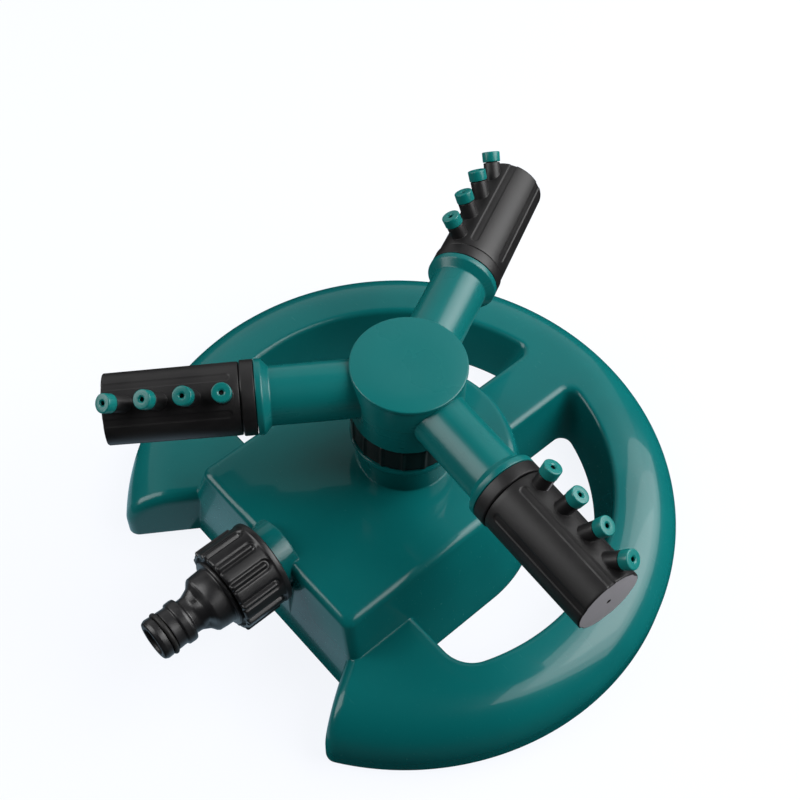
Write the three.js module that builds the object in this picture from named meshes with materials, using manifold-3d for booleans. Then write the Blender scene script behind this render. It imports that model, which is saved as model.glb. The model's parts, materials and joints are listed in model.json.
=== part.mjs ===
// Three-arm rotating lawn sprinkler. Millimetres, +Z up, hose side towards -Y.
// The rotor turns about a vertical axis; the finished group is moved so that the
// middle of its footprint is the origin.
import * as THREE from 'three';
import { mergeVertices } from 'three/addons/utils/BufferGeometryUtils.js';
import Module from 'manifold-3d';

const wasm = await Module();
wasm.setup();

// ---- driving dimensions ----
const fitGap = 0.3; // between pieces that touch
const runGap = 0.1; // radial, between pieces that turn on each other

const ring = {
  radius: 110,
  innerTop: 83,
  innerFoot: 78.6,
  top: 24.2,
  shoulderWidth: 20,
  shoulderHeight: 17.2,
  gapHalfAngle: THREE.MathUtils.degToRad(33.5), // front gap, each side of -Y
  endRound: 5,
  wall: 2.6
};
const block = {
  top: 42.8,
  halfTop: 42.6,
  halfFoot: 54.5,
  frontTop: 64.6,
  frontFoot: 68.3,
  edge: 3,
  corner: 4
};
const spoke = { halfTop: 11.8, halfFoot: 17.6, ringFillet: 4.5 };
const web = { backTop: -38, backFoot: -33, ringFillet: 13 };
const inlet = {
  height: 36.4,
  collarRadius: 12.4,
  collarBack: 60,
  collarFront: 68.2,
  threadRadius: 13,
  threadEnd: 80.5,
  bore: 9,
  bossFront: 67.4
};
const neck = {
  radius: 18.5,
  flareStart: 54,
  flangeRadius: 21,
  flangeBottom: 57.2,
  flangeTop: 59.2,
  threadRadius: 15,
  top: 68.2,
  seat: 62.4,
  seatRadius: 12.8,
  bore: 7.5,
  socketRadius: 9,
  socketTop: 46
};
const elbow = {
  pipeRadius: 5.8,
  pipeBore: 4.3,
  pipeHeight: 34,
  pipeSocketLength: 8,
  riserBore: 6.5,
  riserFloor: 2.2,
  foot: 27.5,
  top: 45.7
};
const nut = {
  radius: 16.2,
  ribRadius: 17,
  ribCount: 12,
  ribWidth: 3.6,
  ribStart: 71,
  back: 68,
  front: 88.1,
  lip: 84.5,
  recess: 86.8,
  lipBore: 12.2,
  recessRadius: 14.2
};
const inletWasher = { inner: 6, outer: 12.6 };
const nipple = {
  back: 83.1,
  beadEnd: 84.2,
  beadRadius: 12.6,
  sleeveRadius: 11.9,
  flangeStart: 87.1,
  flangeEnd: 89.2,
  flangeRadius: 13.6,
  collarRadius: 11.3,
  collarEnd: 95.5,
  neckRadius: 6.9,
  neckStart: 100,
  shoulderStart: 104,
  shoulderEnd: 107.6,
  shoulderRadius: 8.5,
  bodyRadius: 7.6,
  grooveStart: 111.3,
  grooveEnd: 114,
  grooveRadius: 6.5,
  noseRadius: 8,
  noseEnd: 117.5,
  bore: 4.9
};
const bearingNut = {
  radius: 20.1,
  ribRadius: 20.7,
  ribCount: 16,
  ribWidth: 1.6,
  bottom: 59.5,
  lip: 68.5,
  top: 71
};
const spindle = {
  bottom: 48.5,
  tailRadius: 7.4,
  bore: 4.2,
  grooveLow: 52.6,
  grooveHigh: 55.4,
  grooveRadius: 5.7,
  flangeBottom: 63.7,
  flangeTop: 66.2,
  flangeRadius: 12.4,
  shaftRadius: 8.7,
  top: 84
};
const hub = {
  radius: 20.7,
  bottom: 71.3,
  top: 95.6,
  wall: 2.8,
  floor: 3,
  socketWall: 3,
  socketTop: 86,
  capRadius: 21,
  capBottom: 95.9,
  capTop: 97.3,
  capRim: 0.6,
  plugDepth: 3.5
};
const arm = {
  height: 85.2,
  firstAngle: THREE.MathUtils.degToRad(-4.4),
  count: 3,
  tubeRadius: 10.65,
  tubeBore: 8,
  coneStart: 49,
  collarStart: 51.6,
  collarEnd: 53.8,
  collarRadius: 13.5,
  spigotRadius: 9.6,
  spigotBore: 6.3,
  spigotEnd: 72,
  grooveStart: 64,
  grooveEnd: 66.4,
  grooveRadius: 7.9,
  bandRadius: 13.45,
  bandEnd: 58.9
};
const barrel = {
  start: 59.2,
  end: 106,
  rootRadius: 13.05,
  tipRadius: 12.6,
  chamberStart: 70,
  chamberRadius: 10.2,
  endWall: 2.2,
  chamfer: 0.7,
  restTwist: [25, 30, 29] // degrees from straight up, one for each arm
};
const nozzle = {
  count: 4,
  first: 63.8, // where each nozzle's axis meets the barrel's
  pitch: 8.45,
  firstTilt: 3, // degrees towards the barrel's end
  tiltStep: 12,
  reachStep: 1, // each nozzle is this much longer than the one before
  postRadius: 3.2,
  stubRadius: 2.2,
  shoulder: 17.6,
  stubEnd: 20.6,
  bore: 1.1,
  capRadius: 3.45,
  capEnd: 21.75,
  capRoof: 20.9,
  capHole: 0.9
};

// ---- materials ----
const plastic = (color, roughness) => new THREE.MeshStandardMaterial({ color, roughness, metalness: 0 });
const tealPlastic = () => plastic(0x1f6f6b, 0.22);
const capPlastic = () => plastic(0x24807a, 0.3);
const barrelPlastic = () => plastic(0x2a2828, 0.5);
const fittingPlastic = () => plastic(0x1c1c1e, 0.28);
const sealRubber = () => plastic(0x141414, 0.75);
const bearingPlastic = () => plastic(0xd8d6cc, 0.4);

// ---- shape helpers ----

// A closed ring or a solid of revolution about Z, from [radius, height] points.
function turned(profile, segments = 28) {
  const points = profile.map(([radius, height]) => new THREE.Vector2(radius, height));
  const closed = profile[0][0] > 0;
  if (closed) points.push(points[0].clone());
  return new THREE.LatheGeometry(points, segments).rotateX(Math.PI / 2);
}

// The same, turned about the hose axis: heights run towards -Y from the rotor axis.
const turnedToHose = (profile, segments) =>
  turned(profile, segments).rotateX(Math.PI / 2).translate(0, 0, inlet.height);

// The same, turned about an arm: heights run along +X.
const turnedAlongArm = (profile, segments) => turned(profile, segments).rotateY(Math.PI / 2);

const arcPoints = (centreX, centreY, radius, from, to, steps) =>
  Array.from({ length: steps + 1 }, (_, step) => {
    const angle = from + ((to - from) * step) / steps;
    return new THREE.Vector2(centreX + radius * Math.cos(angle), centreY + radius * Math.sin(angle));
  });

const mirrored = (outline) => outline.map((point) => new THREE.Vector2(-point.x, point.y)).reverse();

// A closed solid through outlines with equal point counts, stacked in height.
function loft(levels) {
  const count = levels[0].outline.length;
  const position = levels.flatMap(({ z, outline }) => outline.flatMap((point) => [point.x, point.y, z]));
  const index = [];
  for (let level = 0; level < levels.length - 1; level += 1) {
    for (let corner = 0; corner < count; corner += 1) {
      const next = (corner + 1) % count;
      const low = level * count;
      const high = low + count;
      index.push(low + corner, low + next, high + next, low + corner, high + next, high + corner);
    }
  }
  const lid = (level, flip) => {
    const faces = THREE.ShapeUtils.triangulateShape(levels[level].outline, []);
    faces.forEach(([a, b, c]) => {
      const corners = flip ? [a, c, b] : [a, b, c];
      index.push(...corners.map((corner) => level * count + corner));
    });
  };
  lid(0, true);
  lid(levels.length - 1, false);
  const geometry = new THREE.BufferGeometry();
  geometry.setAttribute('position', new THREE.Float32BufferAttribute(position, 3));
  geometry.setIndex(index);
  return geometry;
}

function signedVolume(position, index) {
  const corner = (place) => new THREE.Vector3().fromArray(position, 3 * index[place]);
  let volume = 0;
  for (let face = 0; face < index.length; face += 3) {
    volume += corner(face).dot(corner(face + 1).cross(corner(face + 2))) / 6;
  }
  return volume;
}

// A manifold solid from a closed geometry, faces turned outwards.
function solid(geometry) {
  const bare = geometry.clone();
  bare.deleteAttribute('normal');
  bare.deleteAttribute('uv');
  const merged = mergeVertices(bare, 1e-4);
  const position = merged.attributes.position.array;
  const index = [];
  for (let face = 0; face < merged.index.count; face += 3) {
    const [a, b, c] = [0, 1, 2].map((corner) => merged.index.getX(face + corner));
    if (a !== b && b !== c && c !== a) index.push(a, b, c);
  }
  if (signedVolume(position, index) < 0) index.reverse();
  const shell = new wasm.Mesh({
    numProp: 3,
    vertProperties: new Float32Array(position),
    triVerts: new Uint32Array(index)
  });
  return new wasm.Manifold(shell);
}

const joined = (first, ...others) => others.reduce((whole, other) => whole.add(other), first);
const cut = (first, ...others) => others.reduce((whole, other) => whole.subtract(other), first);

function geometryOf(manifold) {
  const shell = manifold.getMesh();
  const geometry = new THREE.BufferGeometry();
  geometry.setAttribute('position', new THREE.BufferAttribute(shell.vertProperties, 3));
  geometry.setIndex(new THREE.BufferAttribute(shell.triVerts, 1));
  geometry.computeVertexNormals();
  return geometry;
}

function piece(name, manifold, material) {
  const mesh = new THREE.Mesh(geometryOf(manifold), material);
  mesh.name = name;
  return mesh;
}

// ---- base moulding ----

// How far down a wall is: 0 at the ring's top, 1 at the ground.
const depthAt = (z) => (ring.top - z) / ring.top;

// One of the two through openings, on the +X side, at height z. The block side lies
// inside the block, which is joined on later.
function openingOutline(z, inset) {
  const depth = depthAt(z);
  const outer = THREE.MathUtils.lerp(ring.innerTop, ring.innerFoot, depth) + inset;
  const side = THREE.MathUtils.lerp(spoke.halfTop, spoke.halfFoot, depth) - inset;
  const back = THREE.MathUtils.lerp(web.backTop, web.backFoot, depth) - inset;
  const inner = block.halfTop - 2 - inset;
  const webFillet = web.ringFillet + inset;
  const spokeFillet = spoke.ringFillet + inset;
  const webCentreY = back + webFillet;
  const webCentreX = Math.sqrt((outer - webFillet) ** 2 - webCentreY ** 2);
  const spokeCentreX = side + spokeFillet;
  const spokeCentreY = Math.sqrt((outer - spokeFillet) ** 2 - spokeCentreX ** 2);
  const webAngle = Math.atan2(webCentreY, webCentreX);
  const spokeAngle = Math.atan2(spokeCentreY, spokeCentreX);
  return [
    new THREE.Vector2(inner, back),
    ...arcPoints(webCentreX, webCentreY, webFillet, -Math.PI / 2, webAngle, 6),
    ...arcPoints(0, 0, outer, webAngle, spokeAngle, 20).slice(1, -1),
    ...arcPoints(spokeCentreX, spokeCentreY, spokeFillet, spokeAngle, Math.PI, 4),
    ...arcPoints(0, 0, inner, Math.acos(side / inner), 0, 6)
  ];
}

// The open front between the ring's two ends, with the ends' outer corners rounded.
function gapOutline(inset) {
  const along = new THREE.Vector2(Math.sin(ring.gapHalfAngle), -Math.cos(ring.gapHalfAngle));
  const across = new THREE.Vector2(-along.y, along.x);
  const offset = inset + ring.endRound;
  const reach = Math.sqrt((ring.radius - offset) ** 2 - offset ** 2);
  const centre = across.clone().multiplyScalar(offset).addScaledVector(along, reach);
  const from = ring.gapHalfAngle - Math.PI;
  const outwards = Math.atan2(centre.y, centre.x);
  const corner = arcPoints(centre.x, centre.y, ring.endRound, from, outwards, 5);
  const last = corner[corner.length - 1];
  const far = new THREE.Vector2(ring.radius * 0.5, -ring.radius * 1.4);
  const right = [...corner, last.clone().multiplyScalar(1.1), far];
  const apex = new THREE.Vector2(0, inset / Math.sin(ring.gapHalfAngle));
  return [...mirrored(right), apex, ...right].reverse();
}

// The block's plan: a rectangle with a half circle round the rotor axis at the back.
function blockOutline(half, front) {
  const corner = block.corner;
  return [
    ...arcPoints(-half + corner, -front + corner, corner, Math.PI, 1.5 * Math.PI, 3),
    ...arcPoints(half - corner, -front + corner, corner, -0.5 * Math.PI, 0, 3),
    ...arcPoints(0, 0, half, 0, Math.PI, 28)
  ];
}

function blockSolid(inset, foot) {
  const level = (z, roll) => {
    const depth = (block.top - z) / block.top;
    const half = THREE.MathUtils.lerp(block.halfTop, block.halfFoot, depth) - inset - roll;
    const front = THREE.MathUtils.lerp(block.frontTop, block.frontFoot, depth) - inset - roll;
    return { z: z - (z > 0 ? inset : 0), outline: blockOutline(half, front) };
  };
  const rounding = [0, 0.4, 0.7, 1].map((part) => {
    const angle = (part * Math.PI) / 2;
    const z = block.top - block.edge * (1 - Math.sin(angle));
    return level(z, block.edge * (1 - Math.cos(angle)));
  });
  return solid(loft([level(foot, 0), ...rounding]));
}

// Everything outside the neck and the inlet, smaller all round by the inset.
function baseForm(inset) {
  const foot = inset > 0 ? -1 : 0;
  const radius = ring.radius - inset;
  const top = ring.top - inset;
  const shoulderX = ring.radius - ring.shoulderWidth;
  const shoulderZ = ring.top - ring.shoulderHeight;
  const steps = inset > 0 ? 3 : 5;
  const shoulder = Array.from({ length: steps + 1 }, (_, step) => {
    const angle = (step * Math.PI) / (2 * steps);
    const out = shoulderX + (ring.shoulderWidth - inset) * Math.cos(angle);
    return [out, shoulderZ + (ring.shoulderHeight - inset) * Math.sin(angle)];
  });
  const disc = solid(turned([[0, foot], [radius, foot], ...shoulder, [0, top]], inset > 0 ? 48 : 72));
  const rightOpening = [-3, ring.top + 3].map((z) => ({ z, outline: openingOutline(z, inset) }));
  const leftOpening = rightOpening.map(({ z, outline }) => ({ z, outline: mirrored(outline) }));
  const gap = [-3, ring.top + 3].map((z) => ({ z, outline: gapOutline(inset) }));
  const plate = cut(disc, solid(loft(rightOpening)), solid(loft(leftOpening)), solid(loft(gap)));
  const bossDepth = inlet.bossFront - inset - inlet.collarBack;
  const bossTop = inlet.height - inlet.collarRadius / 2;
  const boss = new THREE.BoxGeometry(2 * (inlet.collarRadius - inset), bossDepth, bossTop - foot);
  boss.translate(0, -inlet.collarBack - bossDepth / 2, (bossTop + foot) / 2);
  return joined(plate, blockSolid(inset, foot), solid(boss));
}

function makeBaseShell() {
  const inletPipe = solid(turnedToHose([
    [0, inlet.collarBack],
    [inlet.collarRadius, inlet.collarBack],
    [inlet.collarRadius, inlet.collarFront],
    [inlet.threadRadius, inlet.collarFront + 0.6],
    [inlet.threadRadius, inlet.threadEnd - 1],
    [inlet.threadRadius - 1, inlet.threadEnd],
    [0, inlet.threadEnd]
  ]));
  const inletBore = solid(turnedToHose([
    [0, inlet.collarBack + ring.wall],
    [inlet.bore, inlet.collarBack + ring.wall],
    [inlet.bore, inlet.threadEnd + 1],
    [0, inlet.threadEnd + 1]
  ]));
  const socketRadius = elbow.pipeRadius + fitGap;
  const pipeSocket = new THREE.CylinderGeometry(socketRadius, socketRadius, elbow.pipeSocketLength, 24);
  pipeSocket.translate(0, -inlet.collarBack, elbow.pipeHeight);
  const neckTurned = solid(turned([
    [0, block.top - ring.wall],
    [neck.radius, block.top - ring.wall],
    [neck.radius, neck.flareStart],
    [neck.flangeRadius, neck.flangeBottom],
    [neck.flangeRadius, neck.flangeTop],
    [neck.threadRadius, neck.flangeTop],
    [neck.threadRadius, neck.top],
    [0, neck.top]
  ], 36));
  const neckBore = solid(turned([
    [0, block.top - ring.wall - 1],
    [neck.socketRadius, block.top - ring.wall - 1],
    [neck.socketRadius, neck.socketTop],
    [neck.bore, neck.socketTop],
    [neck.bore, neck.seat],
    [neck.seatRadius, neck.seat],
    [neck.seatRadius, neck.top + 1],
    [0, neck.top + 1]
  ], 36));
  const hollow = cut(baseForm(0), baseForm(ring.wall));
  const whole = joined(hollow, inletPipe, neckTurned);
  return piece('base_shell', cut(whole, inletBore, solid(pipeSocket), neckBore), tealPlastic());
}

function makeWaterElbow() {
  const pipeStart = -inlet.collarBack - ring.wall + fitGap;
  const lying = (radius, from, to) => new THREE.CylinderGeometry(radius, radius, to - from, 24)
    .translate(0, (from + to) / 2, elbow.pipeHeight);
  const riserRadius = neck.socketRadius - fitGap;
  const riser = solid(turned([
    [0, elbow.foot], [riserRadius, elbow.foot], [riserRadius, elbow.top], [0, elbow.top]
  ], 24));
  const riserBore = solid(turned([
    [0, elbow.foot + elbow.riserFloor],
    [elbow.riserBore, elbow.foot + elbow.riserFloor],
    [elbow.riserBore, elbow.top + 1],
    [0, elbow.top + 1]
  ], 24));
  const outside = joined(riser, solid(lying(elbow.pipeRadius, pipeStart, 0)));
  const hollow = cut(outside, riserBore, solid(lying(elbow.pipeBore, pipeStart - 1, 0)));
  return piece('water_elbow', hollow, tealPlastic());
}

// ---- hose connection ----

// Bars laid on a round piece, turned about Z, from one height to another.
function ribs({ count, width, inner, outer, from, to }) {
  const bars = Array.from({ length: count }, (_, place) => {
    const bar = new THREE.BoxGeometry(outer - inner, width, to - from);
    bar.translate((inner + outer) / 2, 0, (from + to) / 2);
    return bar.rotateZ(((place + 0.5) * 2 * Math.PI) / count);
  });
  return bars;
}

function makeSwivelNut() {
  const body = solid(turnedToHose([
    [inlet.threadRadius + fitGap, nut.back],
    [nut.radius - 0.8, nut.back],
    [nut.radius, nut.back + 0.8],
    [nut.radius, nut.front],
    [nut.recessRadius, nut.front],
    [nut.recessRadius, nut.recess],
    [nut.lipBore, nut.recess],
    [nut.lipBore, nut.lip],
    [inlet.threadRadius + fitGap, nut.lip]
  ]));
  const bars = ribs({
    count: nut.ribCount,
    width: nut.ribWidth,
    inner: nut.radius - 0.8,
    outer: nut.ribRadius,
    from: nut.ribStart,
    to: nut.front
  }).map((bar) => solid(bar.rotateX(Math.PI / 2).translate(0, 0, inlet.height)));
  return piece('swivel_nut', joined(body, ...bars), fittingPlastic());
}

function makeInletWasher() {
  const washer = solid(turnedToHose([
    [inletWasher.inner, inlet.threadEnd + fitGap],
    [inletWasher.outer, inlet.threadEnd + fitGap],
    [inletWasher.outer, nipple.back - fitGap],
    [inletWasher.inner, nipple.back - fitGap]
  ]));
  return piece('inlet_washer', washer, sealRubber());
}

function makeHoseNipple() {
  const flareDrop = nipple.collarRadius - 0.6 - nipple.neckRadius;
  const flareRun = nipple.neckStart - nipple.collarEnd - 1;
  const flare = [0, 0.35, 0.65, 1].map((part) => {
    const angle = (part * Math.PI) / 2;
    const height = nipple.collarEnd + 1 + flareRun * Math.sin(angle);
    return [nipple.neckRadius + flareDrop * (1 - Math.sin(angle)) * Math.cos(angle) ** 0.5, height];
  });
  const body = solid(turnedToHose([
    [nipple.bore, nipple.back],
    [nipple.beadRadius, nipple.back],
    [nipple.beadRadius, nipple.beadEnd],
    [nipple.sleeveRadius, nipple.beadEnd + 0.3],
    [nipple.sleeveRadius, nipple.flangeStart],
    [nipple.flangeRadius, nipple.flangeStart],
    [nipple.flangeRadius, nipple.flangeEnd],
    [nipple.collarRadius, nipple.flangeEnd],
    [nipple.collarRadius, nipple.collarEnd],
    ...flare,
    [nipple.neckRadius, nipple.shoulderStart - 1],
    [nipple.shoulderRadius - 0.4, nipple.shoulderStart],
    [nipple.shoulderRadius, nipple.shoulderStart + 1],
    [nipple.shoulderRadius, nipple.shoulderEnd - 1],
    [nipple.bodyRadius, nipple.shoulderEnd],
    [nipple.bodyRadius, nipple.grooveStart],
    [nipple.grooveRadius, nipple.grooveStart],
    [nipple.grooveRadius, nipple.grooveEnd],
    [nipple.noseRadius, nipple.grooveEnd],
    [nipple.noseRadius, nipple.noseEnd - 1.4],
    [nipple.noseRadius - 0.7, nipple.noseEnd],
    [nipple.bore, nipple.noseEnd]
  ]));
  return piece('hose_nipple', body, fittingPlastic());
}

// An O-ring of round section, turned about Z at a height.
const oRing = (ringRadius, sectionRadius, height) =>
  new THREE.TorusGeometry(ringRadius, sectionRadius, 6, 20).translate(0, 0, height);

function makeNippleORing() {
  const height = (nipple.grooveStart + nipple.grooveEnd) / 2;
  const seal = oRing(nipple.grooveRadius + fitGap + 0.85, 0.85, height);
  seal.rotateX(Math.PI / 2).translate(0, 0, inlet.height);
  return piece('nipple_o_ring', solid(seal), sealRubber());
}

// ---- rotor bearing ----

function makeBearingNut() {
  const thread = neck.threadRadius + fitGap;
  const lipBore = spindle.shaftRadius + runGap;
  const body = solid(turned([
    [thread, bearingNut.bottom],
    [bearingNut.radius, bearingNut.bottom],
    [bearingNut.radius, bearingNut.top - 0.6],
    [bearingNut.radius - 0.6, bearingNut.top],
    [lipBore, bearingNut.top],
    [lipBore, bearingNut.lip],
    [thread, bearingNut.lip]
  ], 36));
  const bars = ribs({
    count: bearingNut.ribCount,
    width: bearingNut.ribWidth,
    inner: bearingNut.radius - 0.8,
    outer: bearingNut.ribRadius,
    from: bearingNut.bottom,
    to: bearingNut.top - 0.8
  }).map(solid);
  return piece('bearing_nut', joined(body, ...bars), barrelPlastic());
}

function makeThrustWasher(name, bottom, top) {
  const inner = spindle.shaftRadius + runGap;
  const outer = neck.seatRadius - fitGap;
  const washer = turned([[inner, bottom], [outer, bottom], [outer, top], [inner, top]]);
  return piece(name, solid(washer), bearingPlastic());
}

function makeRotorSpindle() {
  const body = solid(turned([
    [spindle.bore, spindle.bottom],
    [spindle.tailRadius, spindle.bottom],
    [spindle.tailRadius, spindle.grooveLow],
    [spindle.grooveRadius, spindle.grooveLow],
    [spindle.grooveRadius, spindle.grooveHigh],
    [spindle.tailRadius, spindle.grooveHigh],
    [spindle.tailRadius, spindle.flangeBottom],
    [spindle.flangeRadius, spindle.flangeBottom],
    [spindle.flangeRadius, spindle.flangeTop],
    [spindle.shaftRadius, spindle.flangeTop],
    [spindle.shaftRadius, spindle.top],
    [spindle.bore, spindle.top]
  ], 36));
  return piece('rotor_spindle', body, bearingPlastic());
}

function makeSpindleORing() {
  const section = (neck.bore - spindle.grooveRadius - 2 * fitGap) / 2;
  const height = (spindle.grooveLow + spindle.grooveHigh) / 2;
  const seal = oRing(spindle.grooveRadius + fitGap + section, section, height);
  return piece('spindle_o_ring', solid(seal), sealRubber());
}

// ---- rotor ----

const armAngle = (place) => arm.firstAngle + (place * 2 * Math.PI) / arm.count;
const onArm = (geometry, place) => geometry.rotateZ(armAngle(place)).translate(0, 0, arm.height);

function armOutside() {
  return turnedAlongArm([
    [0, 0],
    [arm.tubeRadius, 0],
    [arm.tubeRadius, arm.coneStart],
    [arm.collarRadius, arm.collarStart],
    [arm.collarRadius, arm.collarEnd],
    [arm.spigotRadius, arm.collarEnd],
    [arm.spigotRadius, arm.grooveStart],
    [arm.grooveRadius, arm.grooveStart],
    [arm.grooveRadius, arm.grooveEnd],
    [arm.spigotRadius, arm.grooveEnd],
    [arm.spigotRadius, arm.spigotEnd],
    [0, arm.spigotEnd]
  ], 28);
}

function armInside() {
  return turnedAlongArm([
    [0, 0],
    [arm.tubeBore, 0],
    [arm.tubeBore, arm.coneStart],
    [arm.spigotBore, arm.collarStart],
    [arm.spigotBore, arm.spigotEnd + 1],
    [0, arm.spigotEnd + 1]
  ], 28);
}

function makeRotorHub() {
  const places = [...Array(arm.count).keys()];
  const chamberRadius = hub.radius - hub.wall;
  const socketBore = spindle.shaftRadius + fitGap;
  const post = (radius, from, to, segments) =>
    solid(turned([[0, from], [radius, from], [radius, to], [0, to]], segments));
  const drum = post(hub.radius, hub.bottom, hub.top, 36);
  const chamber = post(chamberRadius, hub.bottom + hub.floor, hub.capTop, 36);
  const capSeat = post(hub.capRadius + fitGap, hub.top, hub.capTop, 36);
  const socket = post(socketBore + hub.socketWall, hub.bottom, hub.socketTop, 28);
  const socketHole = post(socketBore, hub.bottom - 1, hub.socketTop + 1, 28);
  const outsides = places.map((place) => solid(onArm(armOutside(), place)));
  const insides = places.map((place) => solid(onArm(armInside(), place)));
  const shell = cut(joined(drum, ...outsides), chamber, capSeat, ...insides);
  return piece('rotor_hub', cut(joined(shell, socket), socketHole), tealPlastic());
}

function makeRotorCap() {
  const plugRadius = hub.radius - hub.wall - fitGap;
  const plugBottom = hub.capBottom - hub.plugDepth;
  const cap = solid(turned([
    [0, hub.capBottom],
    [plugRadius - 2, hub.capBottom],
    [plugRadius - 2, plugBottom],
    [plugRadius, plugBottom],
    [plugRadius, hub.capBottom],
    [hub.capRadius, hub.capBottom],
    [hub.capRadius, hub.capTop - hub.capRim],
    [hub.capRadius - hub.capRim, hub.capTop],
    [0, hub.capTop]
  ], 36));
  const clearRadius = arm.tubeRadius + fitGap;
  const armHoles = [...Array(arm.count).keys()].map((place) => {
    const clear = turnedAlongArm([
      [0, 0],
      [clearRadius, 0],
      [clearRadius, arm.coneStart],
      [0, arm.coneStart]
    ], 32);
    return solid(onArm(clear, place));
  });
  const discRadius = hub.capRadius + 1;
  const discOnly = solid(turned([
    [0, hub.capBottom],
    [discRadius, hub.capBottom],
    [discRadius, hub.capTop + 1],
    [0, hub.capTop + 1]
  ], 36));
  const holes = joined(...armHoles).subtract(discOnly);
  return piece('rotor_cap', cut(cap, holes), tealPlastic());
}

function makeArmBand(number) {
  const bore = arm.spigotRadius + fitGap;
  const start = arm.collarEnd + fitGap;
  const band = solid(turnedAlongArm([
    [bore, start],
    [arm.bandRadius, start],
    [arm.bandRadius, arm.bandEnd - 0.3],
    [arm.bandRadius - 0.3, arm.bandEnd],
    [bore, arm.bandEnd]
  ]));
  return piece(`arm_band_${number}`, band, barrelPlastic());
}

function makeBarrelORing(number) {
  const height = (arm.grooveStart + arm.grooveEnd) / 2;
  const section = (arm.spigotRadius + runGap - arm.grooveRadius - 2 * fitGap) / 2;
  const seal = oRing(arm.grooveRadius + fitGap + section, section, height).rotateY(Math.PI / 2);
  return piece(`barrel_o_ring_${number}`, solid(seal), sealRubber());
}

const nozzleTilt = (place) => THREE.MathUtils.degToRad(nozzle.firstTilt + place * nozzle.tiltStep);
const nozzleReach = (place) => place * nozzle.reachStep;
const nozzlePlaces = [...Array(nozzle.count).keys()];

// Turned about Z, then leant towards the barrel's end and moved to its place.
const onBarrel = (geometry, place) =>
  geometry.rotateY(nozzleTilt(place)).translate(nozzle.first + place * nozzle.pitch, 0, 0);

function makeBarrel(number) {
  const bearingBore = arm.spigotRadius + runGap;
  const outside = solid(turnedAlongArm([
    [0, barrel.start],
    [barrel.rootRadius, barrel.start],
    [barrel.tipRadius, barrel.end - barrel.chamfer],
    [barrel.tipRadius - barrel.chamfer, barrel.end],
    [0, barrel.end]
  ]));
  const inside = solid(turnedAlongArm([
    [0, barrel.start - 1],
    [bearingBore, barrel.start - 1],
    [bearingBore, barrel.chamberStart],
    [barrel.chamberRadius, barrel.chamberStart],
    [barrel.chamberRadius, barrel.end - barrel.endWall],
    [0, barrel.end - barrel.endWall]
  ]));
  const posts = nozzlePlaces.map((place) => {
    const shoulder = nozzle.shoulder + nozzleReach(place);
    const end = nozzle.stubEnd + nozzleReach(place);
    const post = turned([
      [0, 0],
      [nozzle.postRadius, 0],
      [nozzle.postRadius, shoulder],
      [nozzle.stubRadius, shoulder],
      [nozzle.stubRadius, end],
      [0, end]
    ], 12);
    return solid(onBarrel(post, place));
  });
  const bores = nozzlePlaces.slice(1).map((place) => {
    const end = nozzle.stubEnd + nozzleReach(place) + 1;
    return solid(onBarrel(turned([[0, 1], [nozzle.bore, 1], [nozzle.bore, end], [0, end]], 8), place));
  });
  return piece(`barrel_${number}`, cut(joined(outside, ...posts), inside, ...bores), barrelPlastic());
}

function makeNozzleCap(number, place) {
  const pocket = nozzle.stubRadius + fitGap;
  const cap = solid(turned([
    [nozzle.capHole, nozzle.capRoof],
    [pocket, nozzle.capRoof],
    [pocket, nozzle.shoulder + fitGap],
    [nozzle.capRadius, nozzle.shoulder + fitGap],
    [nozzle.capRadius, nozzle.capEnd - 0.3],
    [nozzle.capRadius - 0.3, nozzle.capEnd],
    [nozzle.capHole, nozzle.capEnd]
  ], 12).translate(0, 0, nozzleReach(place)));
  const mesh = piece(`nozzle_cap_${number}_${place + 1}`, cap, capPlastic());
  mesh.rotation.y = nozzleTilt(place);
  mesh.position.x = nozzle.first + place * nozzle.pitch;
  return mesh;
}

// ---- assembly ----

function makeBarrelGroup(place) {
  const number = place + 1;
  const twisting = new THREE.Group();
  twisting.add(makeBarrel(number), ...nozzlePlaces.map((nozzlePlace) => makeNozzleCap(number, nozzlePlace)));
  twisting.rotation.x = THREE.MathUtils.degToRad(-barrel.restTwist[place]);
  const onThisArm = new THREE.Group();
  onThisArm.add(makeArmBand(number), makeBarrelORing(number), twisting);
  onThisArm.rotation.z = armAngle(place);
  onThisArm.position.z = arm.height;
  return onThisArm;
}

const group = new THREE.Group();
group.add(makeBaseShell(), makeWaterElbow());
group.add(makeSwivelNut(), makeInletWasher(), makeHoseNipple(), makeNippleORing());
group.add(makeBearingNut(), makeRotorSpindle(), makeSpindleORing());
group.add(makeThrustWasher('lower_thrust_washer', neck.seat + fitGap, spindle.flangeBottom - fitGap));
group.add(makeThrustWasher('upper_thrust_washer', spindle.flangeTop + fitGap, bearingNut.lip - fitGap));
group.add(makeRotorHub(), makeRotorCap());
for (let place = 0; place < arm.count; place += 1) {
  group.add(makeBarrelGroup(place));
}

group.updateMatrixWorld(true);
const box = new THREE.Box3().setFromObject(group);
group.position.set(-(box.min.x + box.max.x) / 2, -(box.min.y + box.max.y) / 2, -box.min.z);

export default group;
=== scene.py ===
import json
import math
import bpy
import bmesh
from mathutils import Matrix, Vector


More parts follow.
